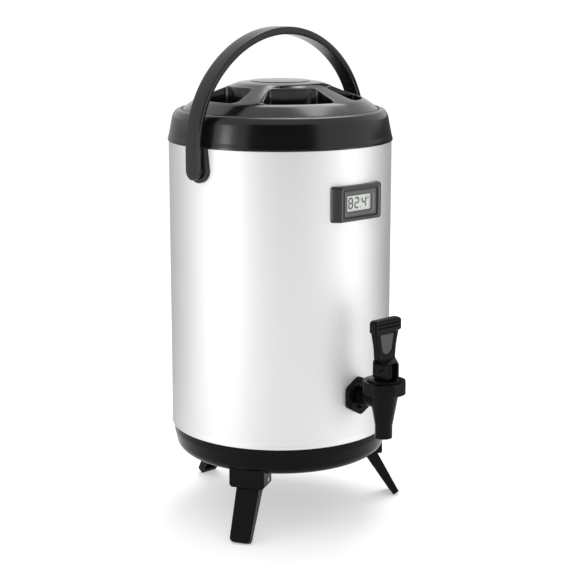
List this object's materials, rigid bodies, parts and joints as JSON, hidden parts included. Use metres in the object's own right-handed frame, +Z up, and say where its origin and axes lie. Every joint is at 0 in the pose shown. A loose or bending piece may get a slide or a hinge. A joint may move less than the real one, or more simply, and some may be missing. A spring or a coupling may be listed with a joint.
{
  "type": "insulated beverage dispenser",
  "caption": "Foam-insulated steel drum with a lift-out lid, swinging carry handle, panel thermometer, lever tap and folding legs.",
  "frame": {"origin": "on the drum's axis, on the surface that the legs stand on", "axes": "+Z up along the drum's axis; -Y towards the tap and the thermometer; +X to the right of them"},
  "size_m": [0.2766, 0.3327, 0.5529],
  "materials": {
    "drum_steel": "polished",
    "tank_steel": "satin",
    "foam": "matte",
    "satin_black": "satin",
    "lid_black": "gloss",
    "plug_grey": "satin",
    "rubber": "matte",
    "pin_steel": "satin",
    "stem_plastic": "satin",
    "lens_clear": "gloss",
    "display_grey": "satin",
    "board_green": "satin",
    "cell_steel": "satin",
    "lead_black": "satin"
  },
  "bodies": {
    "drum": {"outer_shell": "drum_steel", "inner_tank": "tank_steel", "insulation_foam": "foam", "base_pan": "satin_black", "top_collar": "satin_black", "leg_bracket_left": "satin_black", "leg_bracket_right": "satin_black", "leg_bracket_rear": "satin_black", "handle_stud_left": "satin_black", "handle_stud_right": "satin_black", "thermometer_frame": "satin_black", "thermometer_case": "satin_black", "thermometer_back": "satin_black", "tap_body": "satin_black", "tap_bonnet": "satin_black", "tap_nut": "satin_black", "tap_inner_nut": "satin_black", "tap_washer": "rubber", "tap_inner_washer": "rubber", "leg_pin_left": "pin_steel", "leg_pin_right": "pin_steel", "leg_pin_rear": "pin_steel", "bracket_screws": "pin_steel", "valve_spring": "pin_steel", "thermometer_lens": "lens_clear", "display_panel": "display_grey", "circuit_board": "board_green", "button_cells": "cell_steel", "temperature_probe": "cell_steel", "probe_lead": "lead_black"},
    "handle": {"handle": "satin_black"},
    "lid": {"lid_cover": "lid_black", "lid_cap": "lid_black", "lid_plug": "plug_grey", "lid_foam": "foam", "lid_gasket": "rubber"},
    "left_leg": {"leg_left": "satin_black"},
    "right_leg": {"leg_right": "satin_black"},
    "rear_leg": {"leg_rear": "satin_black"},
    "stem": {"valve_stem": "stem_plastic", "valve_cup": "rubber"},
    "lever": {"tap_lever": "satin_black", "lever_pin": "pin_steel"}
  },
  "joints": [
    {"name": "handle_swing", "type": "hinge", "parent": "drum", "child": "handle", "pos_m": [0, 0, 0.40489], "axis": [0.9952, 0.0976, 0], "range_deg": [-110, 100]},
    {"name": "lid_lift", "type": "slide", "parent": "drum", "child": "lid", "axis": [0, 0, 1], "range_m": [0, 0.028]},
    {"name": "left_leg_fold", "type": "hinge", "parent": "drum", "child": "left_leg", "pos_m": [-0.08816, -0.0509, 0.06279], "axis": [0.5, -0.866, 0], "range_deg": [0, 120]},
    {"name": "right_leg_fold", "type": "hinge", "parent": "drum", "child": "right_leg", "pos_m": [0.08816, -0.0509, 0.06279], "axis": [0.5, 0.866, 0], "range_deg": [0, 120]},
    {"name": "rear_leg_fold", "type": "hinge", "parent": "drum", "child": "rear_leg", "pos_m": [0, 0.1018, 0.06279], "axis": [-1, 0, 0], "range_deg": [0, 120]},
    {"name": "stem_lift", "type": "slide", "parent": "drum", "child": "stem", "axis": [0, 0, 1], "range_m": [0, 0.00507], "stiffness_N_per_m": 400, "springref_m": -0.01, "deforming": ["valve_spring"]},
    {"name": "lever_tilt", "type": "hinge", "parent": "stem", "child": "lever", "pos_m": [0, -0.1674, 0.19889], "axis": [1, 0, 0], "range_deg": [0, 35]}
  ],
  "couplings": [
    {"joint": "lever_tilt", "follows": "stem_lift", "rad_per_m": 120.48}
  ]
}
